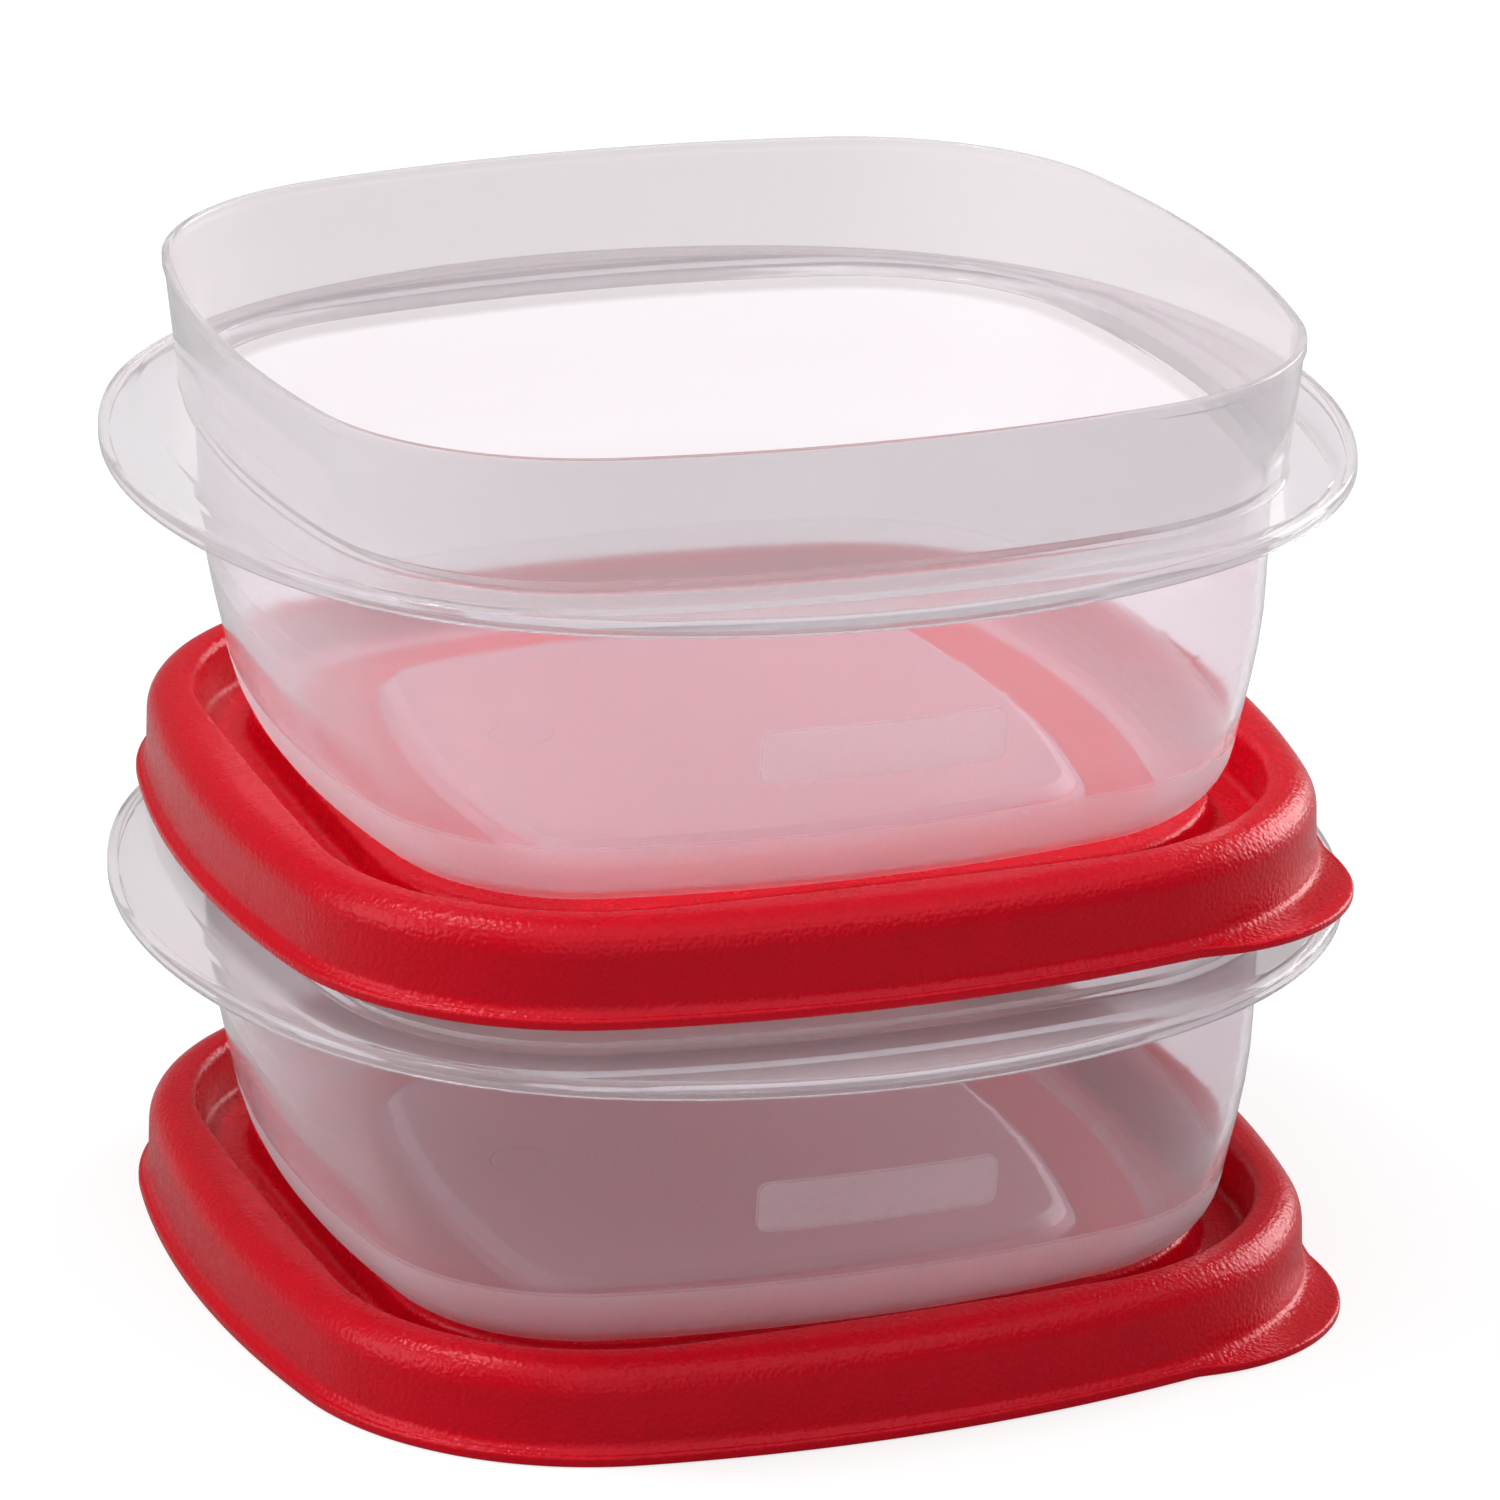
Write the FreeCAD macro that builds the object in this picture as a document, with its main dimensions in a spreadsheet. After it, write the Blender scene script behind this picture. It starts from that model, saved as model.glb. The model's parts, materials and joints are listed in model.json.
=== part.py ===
"""A stack of two square snap lid food containers, drawn as a parametric document.

From the table up: a lid, the container standing in its recess, a second lid
snapped on that container, and a second, open container standing in that lid's
recess. The lowest lid is a little off centre and turned, as its recess is wider
than the foot of the container in it. Millimetres, +Z up; the origin is on the
table, on the axis of the containers.
"""
import FreeCAD, Part
import math
import os
import Sketcher

DIMENSIONS = {
    # the container's outline: half width at mid-side and the two arcs of its rounded square
    "collar_foot_half": 54.4,
    "collar_side_radius": 151.4,
    "collar_corner_radius": 28.9,
    # the container from its base up
    "wall": 0.9,
    "container_height": 50.8,
    "floor_thickness": 1.0,
    "floor_rise": 1.2,
    "floor_panel_half": 32.6,
    "stand_ring_half": 34.0,
    "toe_half": 48.3,
    "toe_radius": 8.0,
    "waist_half": 52.4,
    "waist_height": 19.5,
    "waist_radius": 60.0,
    "bowl_half": 52.8,
    "collar_foot_height": 36.4,
    "rim_half": 56.0,
    "rim_band": 0.25,
    "rim_band_height": 1.15,
    "edge_round": 0.3,
    # the flange round the container
    "flange_half": 65.5,
    "flange_side_radius": 80.6,
    "flange_corner_radius": 52.6,
    "ledge_width": 4.5,
    "ledge_slope_width": 1.4,
    "ledge_drop": 0.5,
    "flange_thickness": 1.0,
    "lip_width": 1.2,
    "lip_bottom": 34.4,
    "lip_top": 36.3,
    "lip_round": 0.55,
    "lip_overlap": 0.6,
    # the lid's outer skirt, from its lower edge up
    "lid_wall": 0.9,
    "lid_height": 10.7,
    "bead_half": 59.8,
    "bead_height": 1.0,
    "bead_round": 0.45,
    "skirt_foot_half": 58.7,
    "skirt_foot_height": 1.9,
    "skirt_foot_round": 1.1,
    "skirt_top_half": 58.4,
    "shoulder_radius": 3.6,
    "inner_shoulder_radius": 1.8,
    # the catch and the sealing rib that the container's rim goes between
    "catch_half": 56.35,
    "catch_height": 7.6,
    "catch_half_height": 0.7,
    "rib_half": 54.75,
    "rib_depth": 2.4,
    "rib_taper": 0.3,
    "rib_width": 0.6,
    # the recess that the next container stands in
    "recess_half": 51.6,
    "recess_side_radius": 764.0,
    "recess_corner_radius": 29.1,
    "recess_edge_round": 1.3,
    "recess_draft": 0.4,
    "recess_strip": 1.8,
    "moat_height": 4.7,
    "moat_round": 0.9,
    "panel_half": 46.0,
    "seat_height": 7.9,
    # the lift tab at one corner of the lid
    "tab_reach": 4.1,
    "tab_radius": 20.5,
    "tab_height": 0.8,
    "tab_overlap": 0.45,
    # the flat strip at a panel's edge, and how far a plate runs on over a swept wall's end
    "plate_strip": 3.0,
    "plate_overlap": 1.0,
    "crest_overlap": 0.4,
    "slope_overlap": 0.1,
    # the play the lowest lid has round the container that only rests in it
    "lower_lid_shift_x": 0.6,
    "lower_lid_shift_y": 2.6,
    "lower_lid_turn": 1.9,
}

doc = FreeCAD.newDocument("SnapLidContainerStack")
sheet = doc.addObject("Spreadsheet::Sheet", "Dimensions")


class Size:
    """A number of the sheet, or a sum made from such numbers, with the text that binds it."""

    def __init__(self, value, text):
        self.value = value
        self.text = text

    def __add__(self, other):
        return Size(self.value + other.value, f"({self.text} + {other.text})")

    def __sub__(self, other):
        return Size(self.value - other.value, f"({self.text} - {other.text})")

    def __mul__(self, factor):
        return Size(self.value * factor, f"({self.text} * {factor})")


def fill_sheet():
    """Write every dimension to the sheet and give each cell its name."""
    sizes = {}
    for row, (name, value) in enumerate(DIMENSIONS.items(), start=1):
        sheet.set(f"A{row}", name)
        sheet.set(f"B{row}", str(value))
        sheet.setAlias(f"B{row}", name)
        sizes[name] = Size(value, f"Dimensions.{name}")
    doc.recompute()
    return sizes


dim = fill_sheet()
ZERO = Size(0.0, "0")
# of a length along a diagonal, the part that lies along each axis
DIAGONAL_SHARE = math.sqrt(0.5)
# one lid and the container in it repeat every stack_pitch
stack_pitch = dim["seat_height"] + dim["container_height"] - dim["lid_height"] + dim["lid_wall"]


class Outline:
    """A rounded square: four shallow side arcs joined by four tangent corner arcs."""

    def __init__(self, half, side_radius, corner_radius):
        self.half = half
        self.side_radius = side_radius
        self.corner_radius = corner_radius

    def grown(self, distance):
        """The outline moved outward by a distance; its arcs keep their centres."""
        return Outline(self.half + distance, self.side_radius + distance, self.corner_radius + distance)

    def at_half(self, half):
        """The same outline moved in or out until its half width is the one asked for."""
        return self.grown(half - self.half)

    def corner_centre(self):
        """The x of the +X, +Y corner arc's centre, which is also its y."""
        side = self.half - self.side_radius
        reach = self.side_radius - self.corner_radius
        value = (side.value + math.sqrt(2 * reach.value ** 2 - side.value ** 2)) / 2
        return Size(value, f"(({side.text} + sqrt(2 * {reach.text}^2 - {side.text}^2)) / 2)")

    def centres(self):
        """Distance of a side arc's centre along its axis, a corner centre's x, and a side's half angle."""
        side = self.half.value - self.side_radius.value
        corner = self.corner_centre().value
        return side, corner, math.atan2(corner, corner - side)


collar = Outline(dim["collar_foot_half"], dim["collar_side_radius"], dim["collar_corner_radius"])
flange = Outline(dim["flange_half"], dim["flange_side_radius"], dim["flange_corner_radius"])
recess = Outline(dim["recess_half"], dim["recess_side_radius"], dim["recess_corner_radius"])

X_AXIS = -1
Y_AXIS = -2
ORIGIN = (-1, 1)
START = 1
END = 2
CENTRE = 3
UP = FreeCAD.Vector(0, 0, 1)


def new_sketch(body, name, role, height=None):
    """An empty sketch on one of the body's own planes, lifted to a height if one is given."""
    plane = next(f for f in body.Origin.OriginFeatures if f.Role == role)
    sketch = body.newObject("Sketcher::SketchObject", f"{body.Name}_{name}")
    sketch.AttachmentSupport = (plane, [""])
    sketch.MapMode = "FlatFace"
    if height is not None:
        sketch.AttachmentOffset = FreeCAD.Placement(FreeCAD.Vector(0, 0, height.value), FreeCAD.Rotation())
        sketch.setExpression("AttachmentOffset.Base.z", height.text)
    return sketch


def bind(sketch, kind, size, *ends):
    """Add a dimensional constraint and tie it to the sheet."""
    index = sketch.addConstraint(Sketcher.Constraint(kind, *ends, size.value))
    sketch.setExpression(f"Constraints[{index}]", size.text)


def tie(sketch, kind, *ends):
    """Add a geometric constraint."""
    sketch.addConstraint(Sketcher.Constraint(kind, *ends))


def arc(x, y, radius, first_angle, last_angle):
    """An arc drawn anticlockwise between two angles in radians."""
    circle = Part.Circle(FreeCAD.Vector(x, y, 0), UP, radius)
    return Part.ArcOfCircle(circle, first_angle, last_angle)


def draw_outline(sketch, outline):
    """Draw a rounded square: side and corner arcs in turn, tangent all the way round."""
    side, corner, half_angle = outline.centres()
    side_arcs = []
    corner_arcs = []
    for quarter in range(4):
        turn = quarter * math.pi / 2
        cosine = math.cos(turn)
        sine = math.sin(turn)
        side_arcs.append(sketch.addGeometry(
            arc(side * cosine, side * sine, outline.side_radius.value, turn - half_angle, turn + half_angle)))
        corner_arcs.append(sketch.addGeometry(
            arc(corner * (cosine - sine), corner * (cosine + sine), outline.corner_radius.value,
                turn + half_angle, turn + math.pi / 2 - half_angle)))
    for quarter in range(4):
        tie(sketch, "Tangent", side_arcs[quarter], END, corner_arcs[quarter], START)
        tie(sketch, "Tangent", corner_arcs[quarter], END, side_arcs[(quarter + 1) % 4], START)
        tie(sketch, "PointOnObject", side_arcs[quarter], CENTRE, X_AXIS if quarter % 2 == 0 else Y_AXIS)
    for quarter in range(1, 4):
        tie(sketch, "Equal", side_arcs[0], side_arcs[quarter])
        tie(sketch, "Equal", corner_arcs[0], corner_arcs[quarter])
    bind(sketch, "Radius", outline.side_radius, side_arcs[0])
    bind(sketch, "Radius", outline.corner_radius, corner_arcs[0])
    behind = outline.side_radius - outline.half
    bind(sketch, "DistanceX", behind, side_arcs[0], CENTRE, *ORIGIN)
    bind(sketch, "DistanceX", behind, *ORIGIN, side_arcs[2], CENTRE)
    bind(sketch, "DistanceY", behind, side_arcs[1], CENTRE, *ORIGIN)
    bind(sketch, "DistanceY", behind, *ORIGIN, side_arcs[3], CENTRE)


def place_point(sketch, geometry, position, x, y):
    """Hold a sketch point at x and y, which may be zero but not negative."""
    if x.value == 0:
        tie(sketch, "PointOnObject", geometry, position, Y_AXIS)
    else:
        bind(sketch, "DistanceX", x, *ORIGIN, geometry, position)
    if y.value == 0:
        tie(sketch, "PointOnObject", geometry, position, X_AXIS)
    else:
        bind(sketch, "DistanceY", y, *ORIGIN, geometry, position)


def draw_section(sketch, corners):
    """Draw a closed section from (x, z) or (x, z, rounding) corners, taken in order."""
    points = [FreeCAD.Vector(corner[0].value, corner[1].value, 0) for corner in corners]
    count = len(points)
    entries = []
    leaves = []
    bows = []
    for index, corner in enumerate(corners):
        point = points[index]
        before = (points[index - 1] - point).normalize()
        after = (points[(index + 1) % count] - point).normalize()
        if len(corner) == 2:
            entries.append(point)
            leaves.append(point)
            bows.append(None)
            continue
        radius = corner[2].value
        half_turn = before.getAngle(after) / 2
        setback = radius / math.tan(half_turn)
        entries.append(point + before * setback)
        leaves.append(point + after * setback)
        centre = point + (before + after).normalize() * (radius / math.sin(half_turn))
        middle = centre + (point - centre).normalize() * radius
        bows.append(Part.Arc(entries[-1], middle, leaves[-1]))
    lines = []
    for index in range(count):
        lines.append(sketch.addGeometry(Part.LineSegment(leaves[index], entries[(index + 1) % count])))
    for index, corner in enumerate(corners):
        before = lines[index - 1]
        after = lines[index]
        if bows[index] is None:
            tie(sketch, "Coincident", before, END, after, START)
            place_point(sketch, after, START, corner[0], corner[1])
            continue
        bow = sketch.addGeometry(bows[index])
        # an arc drawn clockwise is kept with its ends swapped
        bow_start = FreeCAD.Vector(sketch.getPoint(bow, START))
        forward = bow_start.distanceToPoint(entries[index]) < bow_start.distanceToPoint(leaves[index])
        tie(sketch, "Tangent", before, END, bow, START if forward else END)
        tie(sketch, "Tangent", bow, END if forward else START, after, START)
        bind(sketch, "Radius", corner[2], bow)
        vertex = sketch.addGeometry(Part.Point(points[index]), True)
        tie(sketch, "PointOnObject", vertex, START, before)
        tie(sketch, "PointOnObject", vertex, START, after)
        place_point(sketch, vertex, START, corner[0], corner[1])


def sweep(body, name, corners, path_outline):
    """Carry a wall section once round an outline."""
    path = new_sketch(body, f"{name}_path", "XY_Plane")
    draw_outline(path, path_outline)
    section = new_sketch(body, f"{name}_section", "XZ_Plane")
    draw_section(section, corners)
    pipe = body.newObject("PartDesign::AdditivePipe", f"{body.Name}_{name}")
    pipe.Profile = section
    pipe.Spine = (path, [])
    return pipe


def plate(body, name, bottom, thickness, outer, inner=None):
    """A flat plate inside one outline and, if a second is given, outside that one."""
    sketch = new_sketch(body, f"{name}_outline", "XY_Plane", bottom)
    draw_outline(sketch, outer)
    if inner is not None:
        draw_outline(sketch, inner)
    pad = body.newObject("PartDesign::Pad", f"{body.Name}_{name}")
    pad.Profile = sketch
    pad.Length = thickness.value
    pad.setExpression("Length", thickness.text)
    return pad


def new_body(name, height):
    """A body named for its piece, standing at a height in the stack."""
    body = doc.addObject("PartDesign::Body", name)
    body.Label = name
    body.Placement = FreeCAD.Placement(FreeCAD.Vector(0, 0, height.value), FreeCAD.Rotation(UP, 0))
    body.setExpression("Placement.Base.z", height.text)
    return body


def set_off_centre(body, shift_x, shift_y, turn):
    """Slide a body sideways and turn it, in degrees, about its own upright axis."""
    base = FreeCAD.Vector(shift_x.value, shift_y.value, body.Placement.Base.z)
    body.Placement = FreeCAD.Placement(base, FreeCAD.Rotation(UP, turn.value))
    body.setExpression("Placement.Base.x", shift_x.text)
    body.setExpression("Placement.Base.y", shift_y.text)
    body.setExpression("Placement.Rotation.Angle", turn.text)


def bowl_section():
    """The container's wall from the floor panel to the rim, flange ledge included."""
    wall = dim["wall"]
    floor = dim["floor_thickness"]
    rise = dim["floor_rise"]
    round_edge = dim["edge_round"]
    foot = dim["collar_foot_height"]
    ledge_end = dim["collar_foot_half"] + dim["ledge_width"]
    slope_end = ledge_end + dim["ledge_slope_width"]
    plate_top = foot - dim["ledge_drop"]
    underside = foot - dim["flange_thickness"]
    band_bottom = dim["container_height"] - dim["rim_band_height"]
    below_band = dim["rim_half"] - dim["rim_band"]
    panel_edge = dim["floor_panel_half"]
    panel_inner = panel_edge - dim["plate_strip"]
    return [
        (panel_inner, rise),
        (panel_edge, rise, round_edge),
        (dim["stand_ring_half"], ZERO, round_edge),
        (dim["toe_half"], ZERO, dim["toe_radius"]),
        (dim["waist_half"], dim["waist_height"], dim["waist_radius"]),
        (dim["bowl_half"], underside, round_edge),
        (ledge_end - round_edge, underside),
        (slope_end, plate_top - dim["flange_thickness"]),
        (slope_end, plate_top),
        (ledge_end, foot, round_edge),
        (dim["collar_foot_half"], foot, round_edge),
        (below_band, band_bottom - round_edge),
        (dim["rim_half"], band_bottom),
        (dim["rim_half"], dim["container_height"], round_edge),
        (dim["rim_half"] - wall, dim["container_height"], round_edge),
        (dim["collar_foot_half"] - wall, foot + floor, round_edge),
        (dim["bowl_half"] - wall, foot - round_edge, round_edge),
        (dim["waist_half"] - wall, dim["waist_height"], dim["waist_radius"] - wall),
        (dim["toe_half"] - wall, floor, dim["toe_radius"] - wall),
        (dim["stand_ring_half"] - floor, floor, round_edge),
        (panel_edge - floor, rise + floor, round_edge),
        (panel_inner, rise + floor),
    ]


def lip_section():
    """The thickened edge of the flange."""
    outer = dim["flange_half"]
    inner = outer - dim["lip_width"]
    top_round = dim["lip_round"]
    return [
        (inner, dim["lip_bottom"], dim["edge_round"]),
        (outer, dim["lip_bottom"], top_round),
        (outer, dim["lip_top"], top_round),
        (inner, dim["lip_top"], top_round),
    ]


def make_container(name, height):
    """One container: bowl, flange and collar in a single moulding."""
    body = new_body(name, height)
    sweep(body, "wall", bowl_section(), collar)
    panel = collar.at_half(dim["floor_panel_half"] - dim["plate_strip"] + dim["plate_overlap"])
    plate(body, "floor", dim["floor_rise"], dim["floor_thickness"], panel)
    sweep(body, "lip", lip_section(), flange)
    slope_end = dim["collar_foot_half"] + dim["ledge_width"] + dim["ledge_slope_width"]
    plate_bottom = dim["collar_foot_height"] - dim["ledge_drop"] - dim["flange_thickness"]
    plate(body, "flange", plate_bottom, dim["flange_thickness"],
          flange.at_half(dim["flange_half"] - dim["lip_overlap"]),
          collar.at_half(slope_end - dim["slope_overlap"]))
    return body


def skirt_section():
    """The lid's outer skirt and crest, with the catch and the sealing rib inside."""
    wall = dim["lid_wall"]
    top = dim["lid_height"]
    ceiling = top - wall
    catch = dim["catch_height"]
    catch_rise = dim["catch_half_height"]
    inner_top = dim["skirt_top_half"] - wall
    inner_foot = dim["skirt_foot_half"] - wall
    rib_end = dim["rib_half"] - dim["rib_taper"]
    rib_inner = rib_end - dim["rib_width"]
    rib_bottom = ceiling - dim["rib_depth"]
    return [
        (dim["bead_half"] - wall, ZERO),
        (dim["bead_half"], ZERO, dim["edge_round"]),
        (dim["bead_half"], dim["bead_height"], dim["bead_round"]),
        (dim["skirt_foot_half"], dim["skirt_foot_height"], dim["skirt_foot_round"]),
        (dim["skirt_top_half"], top, dim["shoulder_radius"]),
        (rib_inner, top),
        (rib_inner, rib_bottom),
        (rib_end, rib_bottom),
        (dim["rib_half"], ceiling),
        (inner_top, ceiling, dim["inner_shoulder_radius"]),
        (inner_top, catch + catch_rise),
        (dim["catch_half"], catch, dim["edge_round"]),
        (inner_foot, catch - catch_rise),
        (inner_foot, dim["skirt_foot_height"], dim["edge_round"]),
        (dim["bead_half"] - wall, dim["bead_height"]),
    ]


def recess_section():
    """The recess wall, the moat at its foot and the edge of the raised panel."""
    wall = dim["lid_wall"]
    top = dim["lid_height"]
    edge = dim["recess_half"]
    foot = edge - dim["recess_draft"]
    moat = dim["moat_height"]
    panel = dim["panel_half"]
    panel_top = panel - dim["recess_draft"]
    panel_inner = panel_top - dim["plate_strip"]
    seat = dim["seat_height"]
    crest_end = edge + dim["recess_strip"]
    moat_round = dim["moat_round"]
    outer_round = moat_round + wall
    return [
        (crest_end, top),
        (edge, top, dim["recess_edge_round"]),
        (foot, moat, moat_round),
        (panel, moat, moat_round),
        (panel_top, seat, moat_round),
        (panel_inner, seat),
        (panel_inner, seat - wall),
        (panel_top - wall, seat - wall),
        (panel - wall, moat - wall, outer_round),
        (foot + wall, moat - wall, outer_round),
        (edge + wall, top - wall),
        (crest_end, top - wall),
    ]


def add_tab(body):
    """The lift tab: a thin plate with a bowed edge that widens the bead at the +X, -Y corner."""
    bead = collar.at_half(dim["bead_half"])
    centre = bead.corner_centre()
    inner_radius = bead.corner_radius - dim["tab_overlap"]
    outer_radius = dim["tab_radius"]
    setback = bead.corner_radius + dim["tab_reach"] - outer_radius
    outer_centre = centre + setback * DIAGONAL_SHARE
    # where the bowed edge meets the inner arc: along the diagonal and away from it, and as angles
    squares = inner_radius.value ** 2 + setback.value ** 2 - outer_radius.value ** 2
    along = squares / (2 * setback.value)
    away = math.sqrt(inner_radius.value ** 2 - along ** 2)
    inner_angle = math.atan2(away, along)
    outer_angle = math.atan2(away, along - setback.value)
    diagonal = -math.pi / 4
    sketch = new_sketch(body, "tab_outline", "XY_Plane")
    inner = sketch.addGeometry(arc(
        centre.value, -centre.value, inner_radius.value, diagonal - inner_angle, diagonal + inner_angle))
    outer = sketch.addGeometry(arc(
        outer_centre.value, -outer_centre.value, outer_radius.value,
        diagonal - outer_angle, diagonal + outer_angle))
    for end in (START, END):
        tie(sketch, "Coincident", inner, end, outer, end)
    for geometry, place, radius in ((inner, centre, inner_radius), (outer, outer_centre, outer_radius)):
        bind(sketch, "DistanceX", place, *ORIGIN, geometry, CENTRE)
        bind(sketch, "DistanceY", place, geometry, CENTRE, *ORIGIN)
        bind(sketch, "Radius", radius, geometry)
    pad = body.newObject("PartDesign::Pad", f"{body.Name}_tab")
    pad.Profile = sketch
    pad.Length = dim["tab_height"].value
    pad.setExpression("Length", dim["tab_height"].text)


def make_lid(name, height):
    """One lid: skirt, crest, recess, raised seat panel and lift tab in a single moulding."""
    body = new_body(name, height)
    sweep(body, "skirt", skirt_section(), collar)
    sweep(body, "recess", recess_section(), recess)
    wall = dim["lid_wall"]
    overlap = dim["crest_overlap"]
    plate(body, "crest", dim["lid_height"] - wall, wall,
          collar.at_half(dim["rib_half"] + overlap), recess.grown(dim["recess_strip"] - overlap))
    panel_inner = dim["panel_half"] - dim["recess_draft"] - dim["plate_strip"]
    plate(body, "panel", dim["seat_height"] - wall, wall,
          recess.at_half(panel_inner + dim["plate_overlap"]))
    add_tab(body)
    return body


def check_document(bodies):
    """Stop if any object failed or any piece has no sound shape."""
    for item in doc.Objects:
        if "Invalid" in item.State or "Error" in item.State:
            raise RuntimeError(f"{item.Name} failed: {item.State}")
    for body in bodies:
        if body.Shape.isNull() or not body.Shape.isValid() or len(body.Shape.Solids) != 1:
            raise RuntimeError(f"{body.Label} is not one sound solid")


pieces = [
    make_lid("lower_lid", ZERO),
    make_container("lower_container", dim["seat_height"]),
    make_lid("upper_lid", stack_pitch),
    make_container("upper_container", stack_pitch + dim["seat_height"]),
]
set_off_centre(pieces[0], dim["lower_lid_shift_x"], dim["lower_lid_shift_y"], dim["lower_lid_turn"])
doc.recompute()
check_document(pieces)
os.makedirs("parts", exist_ok=True)
for piece in pieces:
    piece.Shape.exportStep(f"parts/{piece.Label}.step")
    print(piece.Label, round(piece.Shape.Volume), "mm3", piece.Shape.BoundBox)
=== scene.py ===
"""Looks of the snap lid container stack: fine meshes, plastics, floor, lights and camera.

Metres, +Z up, the origin on the table under the middle of the containers. Each lid
and container is one moulding. It is drawn here again as rings of points, one ring for
each point of its section, at the CAD's own sizes and with finer roundings, so that
its clear or pebbled plastic shades cleanly.
"""
import json
import math

import bmesh
import bpy
from mathutils import Matrix, Quaternion, Vector

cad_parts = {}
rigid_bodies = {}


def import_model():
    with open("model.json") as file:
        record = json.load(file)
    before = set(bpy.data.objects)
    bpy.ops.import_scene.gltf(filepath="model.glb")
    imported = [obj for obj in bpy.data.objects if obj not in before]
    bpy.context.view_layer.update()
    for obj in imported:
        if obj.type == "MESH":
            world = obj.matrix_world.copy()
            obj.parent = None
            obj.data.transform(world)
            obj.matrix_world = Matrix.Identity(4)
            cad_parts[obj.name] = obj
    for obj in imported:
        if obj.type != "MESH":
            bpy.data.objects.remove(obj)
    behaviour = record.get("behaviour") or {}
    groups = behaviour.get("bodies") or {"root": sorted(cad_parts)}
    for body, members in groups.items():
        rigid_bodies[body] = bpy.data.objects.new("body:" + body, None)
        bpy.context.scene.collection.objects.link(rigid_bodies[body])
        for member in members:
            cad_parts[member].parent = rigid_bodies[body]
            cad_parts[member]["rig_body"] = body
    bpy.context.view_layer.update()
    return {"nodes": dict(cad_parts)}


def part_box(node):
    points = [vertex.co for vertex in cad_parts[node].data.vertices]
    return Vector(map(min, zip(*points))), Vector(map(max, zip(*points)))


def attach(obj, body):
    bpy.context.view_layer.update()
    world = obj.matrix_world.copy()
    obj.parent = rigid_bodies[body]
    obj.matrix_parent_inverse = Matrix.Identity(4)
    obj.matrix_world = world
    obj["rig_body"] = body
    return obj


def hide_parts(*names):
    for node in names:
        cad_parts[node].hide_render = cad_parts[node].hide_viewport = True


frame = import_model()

MM = 0.001
WHITE = (1.0, 1.0, 1.0, 1.0)

# the camera, as seen from the middle of the stack
CAMERA_AZIMUTH = math.radians(-19.28)
CAMERA_ELEVATION = math.radians(19.76)
CAMERA_DISTANCE = 0.8619
CAMERA_TARGET = Vector((0.00277, -0.00097, 0.0560))
CAMERA_ROLL = math.radians(0.43)
CAMERA_LENS = 193.1
SENSOR_WIDTH = 36.0

# the studio: softboxes by name, place, size and power in watts, all turned to one point
LIGHTS = (
    ("overhead", (0.0, -0.90, 2.1), (3.2, 2.6), 30.0),
    ("left_softbox", (-1.05, 0.10, 0.55), (0.80, 0.70), 5.0),
    ("front_fill", (-0.35, -1.50, 0.50), (1.0, 0.6), 2.2),
    ("right_softbox", (1.05, 0.35, 0.45), (0.80, 0.70), 9.8),
    ("key", (-0.59, 0.22, 1.30), (0.20, 0.20), 5.5),
)
LIGHT_AIM = Vector((0.0, 0.0, 0.055))
WORLD_STRENGTH = 0.20
FLOOR_SIZE = 8.0
FLOOR_DROP = 0.05 * MM
FLOOR_GREY = (0.40, 0.40, 0.40, 1.0)
FLOOR_ROUGHNESS = 0.8
FLOOR_SHINE = 0.1
FLOOR_GLOW = 0.66

# rings of points round an outline, in millimetres
SIDE_STEPS = 44
CORNER_STEPS = 40
ROUND_STEP = math.radians(11)
LEAST_ROUND_STEPS = 3
CAP_SCALES = (0.72, 0.42, 0.15)
SHARP_ANGLE = math.radians(38)
# a straight run that is long enough gets a held point beside each of its ends
HOLD = 0.12
LONG_RUN = 4 * HOLD
# a section's end point and its first run's two held points
RUN_POINTS = 3
# a section without the end point and the held point beside it, at either end
BETWEEN_ENDS = slice(2, -2)


class Outline:
    """A rounded square of four shallow side arcs and four tangent corner arcs, in millimetres."""

    def __init__(self, half, side_radius, corner_radius):
        self.side_centre = half - side_radius
        self.reach = side_radius - corner_radius
        spread = math.sqrt(2 * self.reach ** 2 - self.side_centre ** 2)
        self.corner_centre = (self.side_centre + spread) / 2
        self.half_angle = math.atan2(self.corner_centre, self.corner_centre - self.side_centre)

    def ring(self, half):
        """The outline's points at a half width; its arcs keep their centres."""
        side_radius = half - self.side_centre
        corner_radius = side_radius - self.reach
        side = Vector((self.side_centre, 0.0))
        corner = Vector((self.corner_centre, self.corner_centre))
        points = []
        for quarter in range(4):
            turn = Matrix.Rotation(quarter * math.pi / 2, 2)
            for step in range(SIDE_STEPS):
                angle = self.half_angle * (2 * step / SIDE_STEPS - 1)
                spot = side + side_radius * Vector((math.cos(angle), math.sin(angle)))
                points.append(turn @ spot)
            for step in range(CORNER_STEPS):
                angle = self.half_angle + (math.pi / 2 - 2 * self.half_angle) * step / CORNER_STEPS
                spot = corner + corner_radius * Vector((math.cos(angle), math.sin(angle)))
                points.append(turn @ spot)
        return points


COLLAR = Outline(54.4, 151.4, 28.9)
FLANGE = Outline(65.5, 80.6, 52.6)
RECESS = Outline(51.6, 764.0, 29.1)


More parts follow.
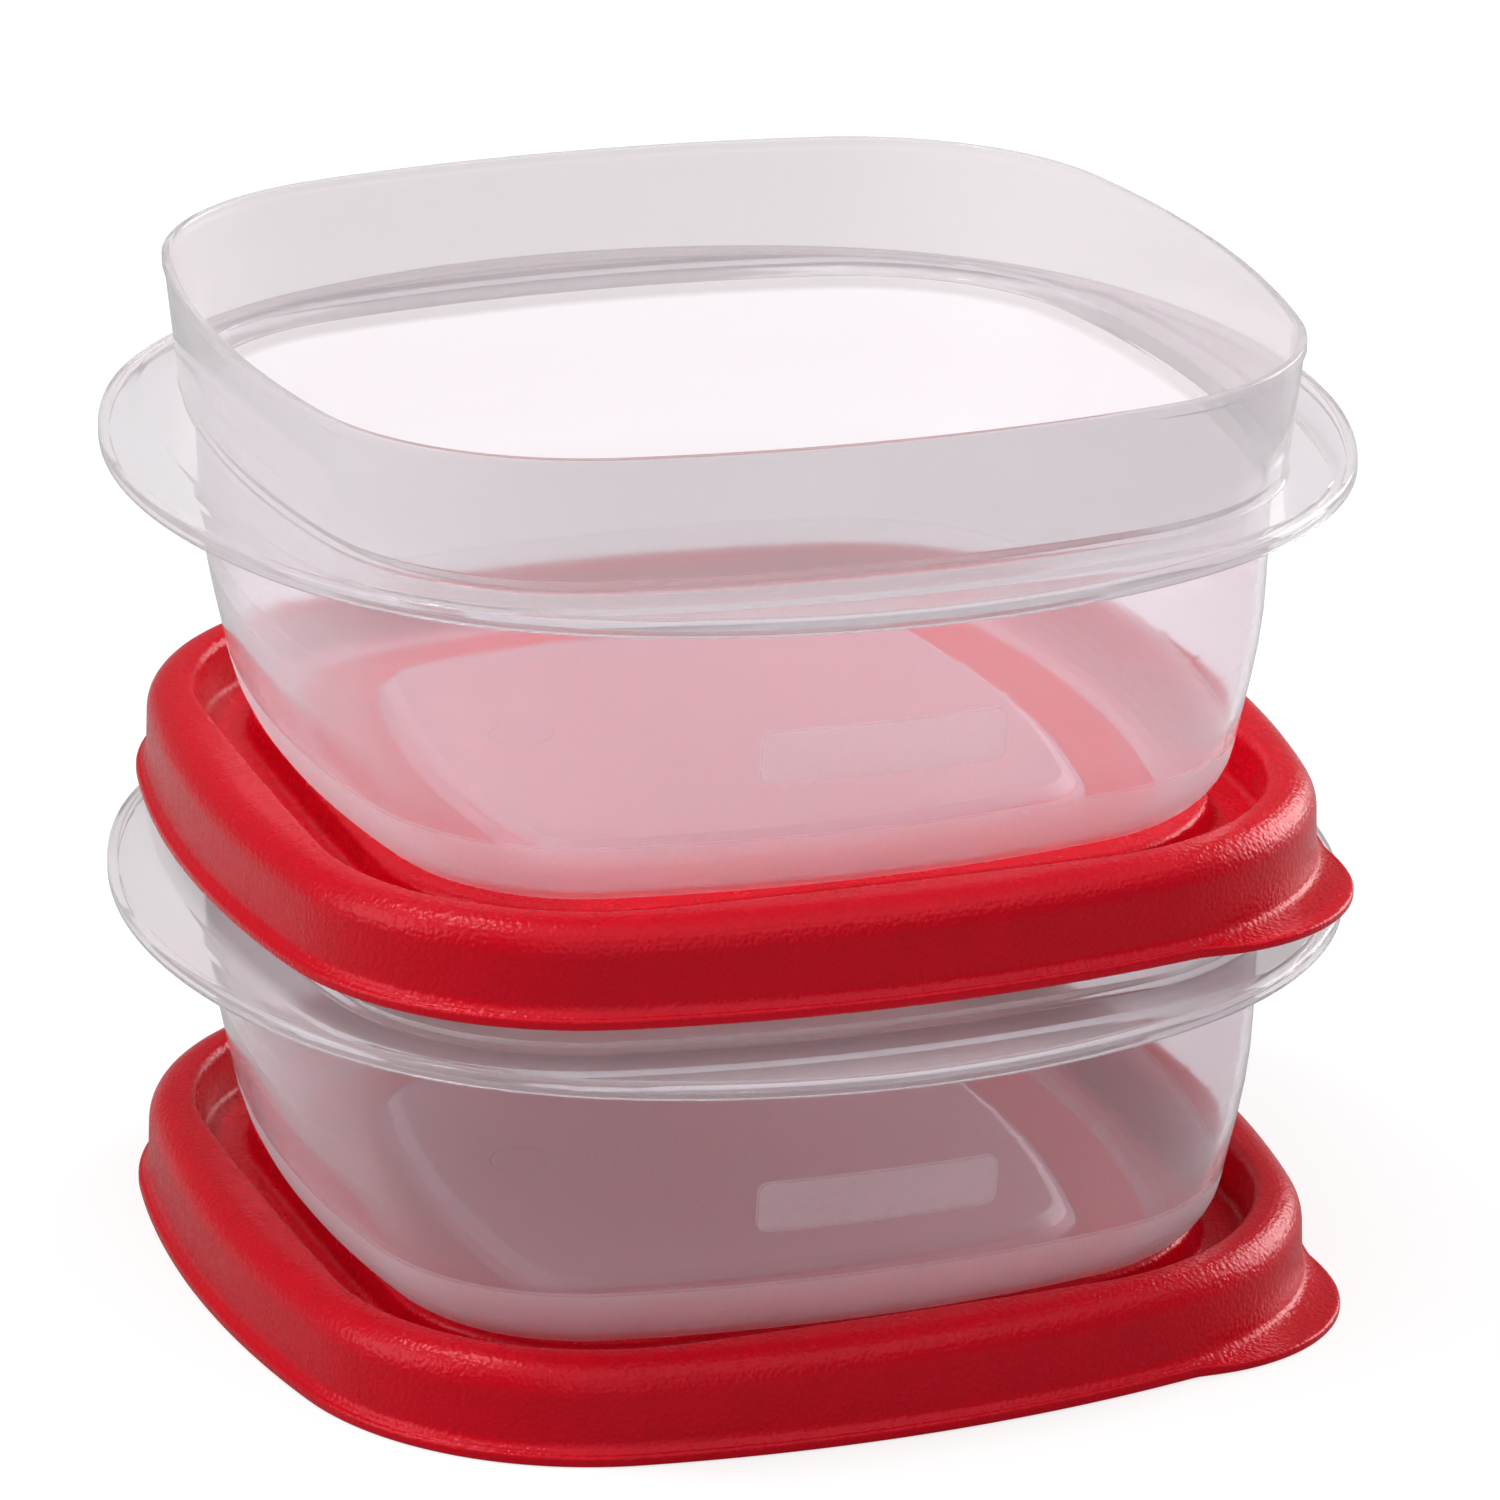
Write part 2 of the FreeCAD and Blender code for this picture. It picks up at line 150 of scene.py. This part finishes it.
def rounded(corners):
    """A section's points from (half, z) or (half, z, rounding) corners, with roundings stepped out.

    A point is held close to each end of a long straight run, which keeps the run's shading flat.
    """
    last = len(corners) - 1
    spots = [Vector(corner[:2]) for corner in corners]
    points = []
    for index, corner in enumerate(corners):
        spot = spots[index]
        if len(corner) == 2 or index in (0, last):
            points.append(spot)
            continue
        before = (spots[index - 1] - spot).normalized()
        after = (spots[index + 1] - spot).normalized()
        half_turn = before.angle(after) / 2
        setback = corner[2] / math.tan(half_turn)
        centre = spot + (before + after).normalized() * (corner[2] / math.sin(half_turn))
        first = spot + before * setback - centre
        sweep = first.angle_signed(spot + after * setback - centre)
        steps = max(LEAST_ROUND_STEPS, math.ceil(abs(sweep) / ROUND_STEP))
        for step in range(steps + 1):
            points.append(centre + Matrix.Rotation(-sweep * step / steps, 2) @ first)
    held = []
    for first, second in zip(points, points[1:]):
        run = second - first
        held.append(first)
        if run.length > LONG_RUN:
            held.append(first + run.normalized() * HOLD)
            held.append(second - run.normalized() * HOLD)
    held.append(points[-1])
    return held


def rings_of(outline, section):
    """A ring of 3-D points for each point of a section."""
    rings = []
    for point in section:
        rings.append([Vector((spot.x, spot.y, point.y)) for spot in outline.ring(point.x)])
    return rings


def keep_inside(rings, limit, gap):
    """Pull any point of some rings in until it is a gap inside the limiting ring."""
    for ring in rings:
        for point, edge in zip(ring, limit):
            room = edge.xy.length - gap
            if point.xy.length > room:
                point.xy = point.xy.normalized() * room


def cap(ring):
    """Smaller copies of a flat ring that lead to its middle."""
    rings = []
    for scale in CAP_SCALES:
        rings.append([Vector((point.x * scale, point.y * scale, point.z)) for point in ring])
    return rings


def make_piece(name, rings):
    """A closed mesh through rings of points in millimetres, capped at the first and last ring."""
    mesh = bpy.data.meshes.new(name)
    form = bmesh.new()
    rows = [[form.verts.new(point * MM) for point in ring] for ring in rings]
    count = len(rows[0])
    for lower, upper in zip(rows, rows[1:]):
        for index in range(count):
            following = (index + 1) % count
            form.faces.new((lower[index], lower[following], upper[following], upper[index]))
    for row in (rows[0], rows[-1]):
        middle = form.verts.new(sum((vertex.co for vertex in row), Vector()) / count)
        for index in range(count):
            form.faces.new((row[index], row[(index + 1) % count], middle))
    bmesh.ops.recalc_face_normals(form, faces=form.faces)
    form.to_mesh(mesh)
    form.free()
    mesh.shade_smooth()
    mesh.set_sharp_from_angle(angle=SHARP_ANGLE)
    piece = bpy.data.objects.new(name, mesh)
    bpy.context.scene.collection.objects.link(piece)
    return piece


# the container, from its base up
WALL = 0.9
FLOOR = 1.0
EDGE_ROUND = 0.3
CONTAINER_HEIGHT = 50.8
PANEL_EDGE = 32.6
PANEL_INNER = 29.6
PANEL_RISE = 1.2
STAND_RING = 34.0
TOE = (48.3, 0.0, 8.0)
WAIST = (52.4, 19.5, 60.0)
BOWL_HALF = 52.8
FOOT_HEIGHT = 36.4
FOOT_HALF = 54.4
RIM_HALF = 56.0
RIM_BAND = 0.25
RIM_BAND_HEIGHT = 1.15
LEDGE_END = 58.9
SLOPE_END = 60.3
LEDGE_DROP = 0.5
FLANGE_THICKNESS = 1.0
FLANGE_HALF = 65.49
LIP_INNER = 64.3
LIP_BOTTOM = 34.4
LIP_TOP = 36.3
LIP_ROUND = 0.55
SLOPE_GAP = 0.25


def container_rings():
    """The rings of one container standing on z = 0, from under its floor round to the inside."""
    underside = FOOT_HEIGHT - FLANGE_THICKNESS
    plate_top = FOOT_HEIGHT - LEDGE_DROP
    plate_bottom = plate_top - FLANGE_THICKNESS
    band_bottom = CONTAINER_HEIGHT - RIM_BAND_HEIGHT
    outside = rings_of(COLLAR, rounded([
        (PANEL_INNER, PANEL_RISE),
        (PANEL_EDGE, PANEL_RISE, EDGE_ROUND),
        (STAND_RING, 0.0, EDGE_ROUND),
        TOE,
        WAIST,
        (BOWL_HALF, underside, EDGE_ROUND),
        (LEDGE_END - EDGE_ROUND, underside),
        (SLOPE_END, plate_bottom),
    ]))
    lip = rings_of(FLANGE, rounded([
        (LIP_INNER, plate_bottom),
        (LIP_INNER, LIP_BOTTOM, EDGE_ROUND / 2),
        (FLANGE_HALF, LIP_BOTTOM, LIP_ROUND),
        (FLANGE_HALF, LIP_TOP, LIP_ROUND),
        (LIP_INNER, LIP_TOP, LIP_ROUND / 3),
        (LIP_INNER, plate_top),
    ]))
    inside = rings_of(COLLAR, rounded([
        (SLOPE_END, plate_top),
        (LEDGE_END, FOOT_HEIGHT, EDGE_ROUND),
        (FOOT_HALF, FOOT_HEIGHT, EDGE_ROUND),
        (RIM_HALF - RIM_BAND, band_bottom - EDGE_ROUND),
        (RIM_HALF, band_bottom),
        (RIM_HALF, CONTAINER_HEIGHT, EDGE_ROUND),
        (RIM_HALF - WALL, CONTAINER_HEIGHT, EDGE_ROUND),
        (FOOT_HALF - WALL, FOOT_HEIGHT + FLOOR, EDGE_ROUND),
        (BOWL_HALF - WALL, FOOT_HEIGHT - EDGE_ROUND, EDGE_ROUND),
        (WAIST[0] - WALL, WAIST[1], WAIST[2] - WALL),
        (TOE[0] - WALL, FLOOR, TOE[2] - WALL),
        (STAND_RING - FLOOR, FLOOR, EDGE_ROUND),
        (PANEL_EDGE - FLOOR, PANEL_RISE + FLOOR, EDGE_ROUND),
        (PANEL_INNER, PANEL_RISE + FLOOR),
    ]))
    # near the corners the flange's outline comes inside the slope's
    keep_inside(outside[-RUN_POINTS:], lip[0], SLOPE_GAP)
    keep_inside(inside[:RUN_POINTS], lip[-1], SLOPE_GAP)
    return cap(outside[0])[::-1] + outside + lip + inside + cap(inside[-1])


# the lid, from its lower edge up
LID_WALL = 0.9
LID_HEIGHT = 10.7
BEAD_HALF = 59.8
BEAD_HEIGHT = 1.0
BEAD_ROUND = 0.45
SKIRT_FOOT = (58.7, 1.9, 1.1)
SKIRT_TOP_HALF = 58.4
SHOULDER_ROUND = 3.6
CATCH = (56.35, 7.6)
CATCH_RISE = 0.7
RIB_HALF = 54.75
RIB_END = 54.45
RIB_INNER = 53.85
RIB_DEPTH = 2.4
RIB_GAP = 0.1
RECESS_HALF = 51.6
RECESS_FOOT = 51.2
RECESS_ROUND = 1.3
MOAT_HEIGHT = 4.7
MOAT_ROUND = 0.9
SEAT_EDGE = 46.0
SEAT_TOP_EDGE = 45.6
SEAT_INNER = 42.6
SEAT_HEIGHT = 7.9
# how far a section runs on past a rounding that ends on the flat crest
CREST_RUN = 5.0
# the lift tab at the +X, -Y corner
TAB_CENTRE = Vector((COLLAR.corner_centre, -COLLAR.corner_centre))
TAB_DIRECTION = Vector((1, -1))
TAB_REACH = 4.1
TAB_RADIUS = 20.5
TAB_HEIGHT = 0.75
TAB_THIN_FROM = TAB_REACH / 2
TAB_STEPS = (0.15, 0.35, 0.6, 0.85)
# a soft corner where the tab's edge leaves the bead, and how far inside the bead it starts
TAB_BLEND = 0.35
TAB_BLEND_START = -3 * TAB_BLEND


def tab_reach(spoke):
    """How far the tab stands out beyond the bead, at a bead point given from the tab's centre."""
    if spoke.x < 0 or spoke.y > 0:
        return 0.0
    bead_radius = spoke.length
    away = spoke.angle(TAB_DIRECTION)
    setback = bead_radius + TAB_REACH - TAB_RADIUS
    across = setback * math.sin(away)
    if across >= TAB_RADIUS:
        return 0.0
    reach = setback * math.cos(away) + math.sqrt(TAB_RADIUS ** 2 - across ** 2) - bead_radius
    if reach <= TAB_BLEND_START:
        return 0.0
    return (reach + math.sqrt(reach ** 2 + TAB_BLEND ** 2)) / 2


def push_tab(rings):
    """Move the bead's rings out to the tab's edge, and down to the tab's thickness."""
    for ring in rings:
        for point in ring:
            spoke = point.xy - TAB_CENTRE
            reach = tab_reach(spoke)
            if reach > 0:
                point.xy += spoke.normalized() * reach
                sink = min(1.0, reach / TAB_THIN_FROM)
                point.z *= 1 + (TAB_HEIGHT / BEAD_HEIGHT - 1) * sink


def tab_top(edge, root):
    """Rings from the bead's and the tab's upper edge to the skirt's foot, rising more and more steeply."""
    rings = []
    for share in TAB_STEPS:
        ring = []
        for outer, inner in zip(edge, root):
            point = outer.lerp(inner, share)
            point.z = outer.z + (inner.z - outer.z) * share ** 2
            ring.append(point)
        rings.append(ring)
    return rings


def lid_rings():
    """The rings of one lid standing on z = 0, from under its panel round to the top."""
    ceiling = LID_HEIGHT - LID_WALL
    inner_top = SKIRT_TOP_HALF - LID_WALL
    inner_foot = SKIRT_FOOT[0] - LID_WALL
    outer_round = MOAT_ROUND + LID_WALL
    below = rings_of(RECESS, rounded([
        (SEAT_INNER, SEAT_HEIGHT - LID_WALL),
        (SEAT_TOP_EDGE - LID_WALL, SEAT_HEIGHT - LID_WALL, EDGE_ROUND),
        (SEAT_EDGE - LID_WALL, MOAT_HEIGHT - LID_WALL, outer_round),
        (RECESS_FOOT + LID_WALL, MOAT_HEIGHT - LID_WALL, outer_round),
        (RECESS_HALF + LID_WALL, ceiling),
    ]))
    hidden = rings_of(COLLAR, rounded([
        (RIB_INNER, ceiling),
        (RIB_INNER, ceiling - RIB_DEPTH),
        (RIB_END, ceiling - RIB_DEPTH),
        (RIB_HALF, ceiling),
        (inner_top, ceiling, SHOULDER_ROUND - LID_WALL * 2),
        (inner_top, CATCH[1] + CATCH_RISE),
        (*CATCH, EDGE_ROUND),
        (inner_foot, CATCH[1] - CATCH_RISE),
        (inner_foot, SKIRT_FOOT[1], EDGE_ROUND),
        (BEAD_HALF - LID_WALL, BEAD_HEIGHT),
        (BEAD_HALF - LID_WALL, 0.0),
    ]))
    bead_section = rounded([
        (BEAD_HALF - LID_WALL, 0.0),
        (BEAD_HALF, 0.0, EDGE_ROUND),
        (BEAD_HALF, BEAD_HEIGHT, BEAD_ROUND),
        (SKIRT_FOOT[0] + HOLD, SKIRT_FOOT[1] - HOLD),
    ])[BETWEEN_ENDS]
    skirt_section = rounded([
        bead_section[-1],
        SKIRT_FOOT,
        (SKIRT_TOP_HALF, LID_HEIGHT, SHOULDER_ROUND),
        (SKIRT_TOP_HALF - CREST_RUN, LID_HEIGHT),
    ])[BETWEEN_ENDS]
    bead = rings_of(COLLAR, bead_section)
    skirt = rings_of(COLLAR, skirt_section)
    above = rings_of(RECESS, rounded([
        (RECESS_HALF + CREST_RUN, LID_HEIGHT),
        (RECESS_HALF, LID_HEIGHT, RECESS_ROUND),
        (RECESS_FOOT, MOAT_HEIGHT, MOAT_ROUND),
        (SEAT_EDGE, MOAT_HEIGHT, MOAT_ROUND),
        (SEAT_TOP_EDGE, SEAT_HEIGHT, MOAT_ROUND),
        (SEAT_INNER, SEAT_HEIGHT),
    ])[RUN_POINTS:])
    # near the corners the recess wall comes outside the sealing rib
    keep_inside(below[-RUN_POINTS:], hidden[0], RIB_GAP)
    push_tab(bead)
    top = tab_top(bead[-1], skirt[0])
    return cap(below[0])[::-1] + below + hidden + bead + top + skirt + above + cap(above[-1])


def moved(ring_set, height, shift, turn):
    """Rings turned about the upright axis, slid sideways and lifted, in millimetres."""
    move = Matrix.Translation((*shift, height)) @ Matrix.Rotation(turn, 4, "Z")
    return [[move @ point for point in ring] for ring in ring_set]


def stand_in(node, ring_set, material, shift=(0.0, 0.0), turn=0.0):
    """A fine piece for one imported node, at the height that the node stands."""
    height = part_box(node)[0].z / MM
    piece = make_piece(f"{node}_shell", moved(ring_set, height, shift, turn))
    piece.data.materials.append(material)
    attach(piece, frame["nodes"][node]["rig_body"])
    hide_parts(node)


class Nodes:
    """Builds one material's node tree; sockets are wired or set by name."""

    def __init__(self, name):
        self.material = bpy.data.materials.new(name)
        self.material.use_nodes = True
        self.tree = self.material.node_tree
        self.tree.nodes.clear()
        self.output = self.tree.nodes.new("ShaderNodeOutputMaterial")

    def feed(self, socket, value):
        """Wire a socket, or set its value if what is given is plain."""
        if isinstance(value, bpy.types.NodeSocket):
            self.tree.links.new(value, socket)
        elif value is not None:
            socket.default_value = value

    def add(self, kind, inputs=None, **settings):
        """A node of a kind, with settings on the node and values or wires on its inputs."""
        node = self.tree.nodes.new(kind)
        for key, value in settings.items():
            setattr(node, key, value)
        for key, value in (inputs or {}).items():
            self.feed(node.inputs[key], value)
        return node

    def math(self, operation, first, second=None, third=None):
        """A Math node's result."""
        node = self.add("ShaderNodeMath", operation=operation)
        for socket, value in zip(node.inputs, (first, second, third)):
            self.feed(socket, value)
        return node.outputs[0]

    def noise(self, coordinates, pattern):
        """Noise about 0.5, of a pattern's scale in cells per metre, detail and roughness."""
        scale, detail, roughness = pattern
        node = self.add("ShaderNodeTexNoise", {
            "Vector": coordinates, "Scale": scale, "Detail": detail, "Roughness": roughness})
        return node.outputs["Fac"]

    def ramp(self, value, span, result=(0.0, 1.0), curve="LINEAR"):
        """A value's span mapped to a result's two ends and held between them."""
        node = self.add("ShaderNodeMapRange", {
            "Value": value,
            "From Min": span[0],
            "From Max": span[1],
            "To Min": result[0],
            "To Max": result[1],
        }, interpolation_type=curve)
        return node.outputs["Result"]

    def step(self, value, edge, blur, below, above):
        """One value below an edge and another above it, with a short blend between."""
        return self.ramp(value, (edge - blur, edge + blur), (below, above))

    def distance(self, across, up):
        """The length of the diagonal of two lengths."""
        squares = self.math("MULTIPLY_ADD", across, across, self.math("MULTIPLY", up, up))
        return self.math("SQRT", squares)

    def blend(self, factor, first, second):
        """Two colours mixed by a factor."""
        node = self.add("ShaderNodeMix", data_type="RGBA")
        colour_sockets = [socket for socket in node.inputs if socket.type == "RGBA"]
        self.feed(node.inputs[0], factor)
        self.feed(colour_sockets[0], first)
        self.feed(colour_sockets[1], second)
        return next(socket for socket in node.outputs if socket.type == "RGBA")

    def bump(self, height, distance, strength=1.0, normal=None):
        """A bumped normal from a height between 0 and 1."""
        node = self.add("ShaderNodeBump", {
            "Height": height, "Distance": distance, "Strength": strength, "Normal": normal})
        return node.outputs["Normal"]

    def finish(self, shader):
        """Wire the surface and hand the material over."""
        self.tree.links.new(shader, self.output.inputs["Surface"])
        return self.material


# noise patterns: scale in cells per metre, detail and roughness
GRIT = (4200.0, 2.0, 0.6)
WAVES = (90.0, 2.0, 0.5)
HANDLING = (260.0, 3.0, 0.6)
FROST_GRAIN = (2600.0, 2.0, 0.6)
SMUDGES = (60.0, 3.0, 0.6)

# the lids' plastic
LID_RED = (0.60, 0.0005, 0.011, 1.0)
LID_RED_DEEP = (0.55, 0.0003, 0.009, 1.0)
LID_SHEEN = (1.0, 0.36, 0.42, 1.0)
LID_IOR = 1.51
LID_GLOSS = 0.42
LID_ROUGHNESS = (0.23, 0.30)
HANDLING_SPAN = (0.3, 0.7)
PEBBLE_SCALE = 2100.0
PEBBLE_SPAN = (0.1, 0.7)
PEBBLE_DEPTH = 0.055 * MM
GRIT_SHARE = 0.5
WAVE_DEPTH = 0.10 * MM
WAVE_STRENGTH = 0.2


def lid_plastic():
    """Red lid plastic with a fine pebble grain, a satin gloss and faint waviness from the mould."""
    nodes = Nodes("lid_pebbled_red")
    where = nodes.add("ShaderNodeTexCoord").outputs["Object"]
    pebbles = nodes.add("ShaderNodeTexVoronoi", {
        "Vector": where, "Scale": PEBBLE_SCALE}, feature="SMOOTH_F1")
    pebble = nodes.ramp(pebbles.outputs["Distance"], PEBBLE_SPAN, (1.0, 0.0))
    height = nodes.math("MULTIPLY_ADD", nodes.noise(where, GRIT), GRIT_SHARE, pebble)
    handled = nodes.noise(where, HANDLING)
    normal = nodes.bump(nodes.noise(where, WAVES), WAVE_DEPTH, WAVE_STRENGTH)
    shader = nodes.add("ShaderNodeBsdfPrincipled", {
        "Base Color": nodes.blend(nodes.ramp(handled, HANDLING_SPAN), LID_RED, LID_RED_DEEP),
        "Roughness": nodes.ramp(handled, HANDLING_SPAN, LID_ROUGHNESS),
        "IOR": LID_IOR,
        "Specular IOR Level": LID_GLOSS,
        "Specular Tint": LID_SHEEN,
        "Normal": nodes.bump(height, PEBBLE_DEPTH, normal=normal),
    })
    return nodes.finish(shader.outputs[0])


# the containers' plastic, with heights above the container's base
CLEAR_TINT = (0.88, 0.835, 0.87, 1.0)
MILKY_TINT = (0.76, 0.735, 0.75, 1.0)
SHADOW_TINT = (0.88, 0.85, 0.87, 1.0)
BODY_IOR = 1.09
COAT_WEIGHT = 0.45
COAT_IOR = 1.42
GLOSS_ROUGHNESS = (0.07, 0.14)
SMUDGE_SPAN = (0.35, 0.70)
# how much light goes straight through, face on and at a grazing angle
THIN_CLARITY = (0.965, 0.70)
GRAZING_POWER = 2.0
EVEN_BLEND = 0.5
# the flange is thicker than the bowl, so it is milkier, and so is the collar above it
FLANGE_BOTTOM = 34.2 * MM
FLANGE_TOP = 36.7 * MM
MILK_BLUR = 0.2 * MM
FLANGE_CLARITY = 0.85
COLLAR_CLARITY = 0.98
# the frosting: a band up from the base, and a rounded patch on the wall towards -Y
FROST_TOP = 7.8 * MM
FROST_BLUR = 0.1 * MM
FROST_CLARITY = 0.88
FROST_SPECKLE = 0.55
FROST_ROUGHNESS = 0.40
FROST_DEPTH = 0.10 * MM
GRAIN_MIDDLE = 0.5
PATCH_CENTRE = (-0.4 * MM, 17.1 * MM)
PATCH_HALF = (13.1 * MM, 2.9 * MM)
PATCH_ROUND = 1.2 * MM
PATCH_WALL = -45 * MM
# the round mould mark: a fine raised ring on the container's floor, and nowhere above a height
MOULD_MARK = (-21.7 * MM, 3.0 * MM)
MOULD_MARK_RADIUS = 3.3 * MM
MOULD_MARK_LINE = 0.35 * MM
MOULD_MARK_DEPTH = 0.20 * MM
MOULD_MARK_CEILING = 5 * MM


def patch_mask(nodes, across, rise):
    """1 inside the frosted patch on the wall and 0 outside it."""
    outside = []
    for value, centre, half in zip((across, rise), PATCH_CENTRE, PATCH_HALF):
        off_centre = nodes.math("ABSOLUTE", nodes.math("SUBTRACT", value, centre))
        outside.append(nodes.math("MAXIMUM", nodes.math("SUBTRACT", off_centre, half - PATCH_ROUND), 0.0))
    return nodes.step(nodes.distance(*outside), PATCH_ROUND, FROST_BLUR, 1.0, 0.0)


def mould_mark(nodes, axes, rise):
    """The height of the ring on the floor, from 0 to 1."""
    off_centre = [nodes.math("SUBTRACT", axes.outputs[name], centre)
                  for name, centre in zip("XY", MOULD_MARK)]
    off_line = nodes.math("ABSOLUTE", nodes.math(
        "SUBTRACT", nodes.distance(*off_centre), MOULD_MARK_RADIUS))
    ring = nodes.ramp(off_line, (0.0, MOULD_MARK_LINE), (1.0, 0.0), "SMOOTHSTEP")
    return nodes.math("MULTIPLY", ring, nodes.math("LESS_THAN", rise, MOULD_MARK_CEILING))


def container_plastic(name, base):
    """Milky clear container plastic, frosted in a band and a patch, for a container on a given height."""
    nodes = Nodes(name)
    where = nodes.add("ShaderNodeTexCoord").outputs["Object"]
    axes = nodes.add("ShaderNodeSeparateXYZ", {"Vector": where})
    rise = nodes.math("SUBTRACT", axes.outputs["Z"], base)

    band = nodes.step(rise, FROST_TOP, FROST_BLUR, 1.0, 0.0)
    on_wall = nodes.math("LESS_THAN", axes.outputs["Y"], PATCH_WALL)
    patch = nodes.math("MULTIPLY", patch_mask(nodes, axes.outputs["X"], rise), on_wall)
    frost = nodes.math("MAXIMUM", band, patch)
    grain = nodes.math("SUBTRACT", nodes.noise(where, FROST_GRAIN), GRAIN_MIDDLE)
    normal = nodes.bump(nodes.math("MULTIPLY", grain, frost), FROST_DEPTH)
    normal = nodes.bump(mould_mark(nodes, axes, rise), MOULD_MARK_DEPTH, normal=normal)

    gloss = nodes.ramp(nodes.noise(where, SMUDGES), SMUDGE_SPAN, GLOSS_ROUGHNESS)
    rough = nodes.math("MAXIMUM", gloss, nodes.math("MULTIPLY", frost, FROST_ROUGHNESS))

    flange_milk = nodes.step(rise, FLANGE_BOTTOM, MILK_BLUR, 1.0, FLANGE_CLARITY)
    collar_milk = nodes.step(rise, FLANGE_TOP, MILK_BLUR, 1.0, COLLAR_CLARITY)
    tint = nodes.blend(nodes.step(rise, FLANGE_BOTTOM, MILK_BLUR, 0.0, 1.0), CLEAR_TINT, MILKY_TINT)
    facing = nodes.add("ShaderNodeLayerWeight", {"Blend": EVEN_BLEND}).outputs["Facing"]
    thin = nodes.ramp(nodes.math("POWER", facing, GRAZING_POWER), (0.0, 1.0), THIN_CLARITY)
    speckle = nodes.math("MULTIPLY_ADD", grain, FROST_SPECKLE, FROST_CLARITY)
    frosted = nodes.math("MULTIPLY_ADD", frost, nodes.math("SUBTRACT", speckle, 1.0), 1.0)
    milk = nodes.math("MULTIPLY", flange_milk, collar_milk)
    shader = nodes.add("ShaderNodeBsdfPrincipled", {
        "Base Color": tint,
        "Roughness": rough,
        "IOR": BODY_IOR,
        "Transmission Weight": nodes.math("MULTIPLY", nodes.math("MULTIPLY", thin, frosted), milk),
        "Coat Weight": COAT_WEIGHT,
        "Coat IOR": COAT_IOR,
        "Coat Roughness": rough,
        "Normal": normal,
        "Coat Normal": normal,
    })
    # light for other surfaces goes through the walls without being bent
    clear = nodes.add("ShaderNodeBsdfTransparent", {"Color": SHADOW_TINT})
    ray = nodes.add("ShaderNodeLightPath")
    surface = nodes.add("ShaderNodeMixShader", {
        0: ray.outputs["Is Shadow Ray"], 1: shader.outputs[0], 2: clear.outputs[0]})
    return nodes.finish(surface.outputs[0])


def floor_plastic():
    """Plain pale floor, with a glow that only camera rays and rays through clear plastic see."""
    nodes = Nodes("floor_pale")
    ray = nodes.add("ShaderNodeLightPath").outputs
    seen = nodes.math("MAXIMUM", ray["Is Camera Ray"], ray["Is Transmission Ray"])
    shader = nodes.add("ShaderNodeBsdfPrincipled", {
        "Base Color": FLOOR_GREY,
        "Roughness": FLOOR_ROUGHNESS,
        "Specular IOR Level": FLOOR_SHINE,
        "Emission Color": WHITE,
        "Emission Strength": nodes.math("MULTIPLY", seen, FLOOR_GLOW),
    })
    return nodes.finish(shader.outputs[0])


def add_floor():
    """A plain floor just under the stack."""
    half = FLOOR_SIZE / 2
    mesh = bpy.data.meshes.new("floor")
    corners = [(-half, -half), (half, -half), (half, half), (-half, half)]
    mesh.from_pydata([(x, y, -FLOOR_DROP) for x, y in corners], [], [(0, 1, 2, 3)])
    floor = bpy.data.objects.new("floor", mesh)
    bpy.context.scene.collection.objects.link(floor)
    floor.data.materials.append(floor_plastic())


def add_light(name, spot, size, power):
    """A rectangular softbox at a place, turned to the stack."""
    data = bpy.data.lights.new(name, "AREA")
    data.shape = "RECTANGLE"
    data.size, data.size_y = size
    data.energy = power
    light = bpy.data.objects.new(name, data)
    bpy.context.scene.collection.objects.link(light)
    light.location = spot
    light.rotation_mode = "QUATERNION"
    light.rotation_quaternion = (LIGHT_AIM - Vector(spot)).to_track_quat("-Z", "Y")


def add_world():
    """Even pale light from all round."""
    world = bpy.data.worlds.new("studio")
    world.use_nodes = True
    background = world.node_tree.nodes["Background"]
    background.inputs["Color"].default_value = WHITE
    background.inputs["Strength"].default_value = WORLD_STRENGTH
    bpy.context.scene.world = world


def add_camera():
    """The camera, placed by its angles and distance from the stack."""
    level = math.cos(CAMERA_ELEVATION)
    back = Vector((
        math.sin(CAMERA_AZIMUTH) * level,
        -math.cos(CAMERA_AZIMUTH) * level,
        math.sin(CAMERA_ELEVATION),
    ))
    data = bpy.data.cameras.new("camera")
    data.lens = CAMERA_LENS
    data.sensor_width = SENSOR_WIDTH
    camera = bpy.data.objects.new("camera", data)
    bpy.context.scene.collection.objects.link(camera)
    camera.location = CAMERA_TARGET + back * CAMERA_DISTANCE
    camera.rotation_mode = "QUATERNION"
    camera.rotation_quaternion = (-back).to_track_quat("-Z", "Y") @ Quaternion((0, 0, 1), CAMERA_ROLL)
    bpy.context.scene.camera = camera


# the lower lid lies a little off the middle of the stack and turned, in millimetres
LOWER_LID_SHIFT = (0.6, 2.6)
LOWER_LID_TURN = math.radians(1.9)

red = lid_plastic()
lid = lid_rings()
container = container_rings()
stand_in("lower_lid", lid, red, LOWER_LID_SHIFT, LOWER_LID_TURN)
stand_in("upper_lid", lid, red)
for node in ("lower_container", "upper_container"):
    clear = container_plastic(f"{node}_clear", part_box(node)[0].z)
    stand_in(node, container, clear)

add_floor()
for light in LIGHTS:
    add_light(*light)
add_world()
add_camera()
bpy.context.scene.view_settings.view_transform = "Standard"
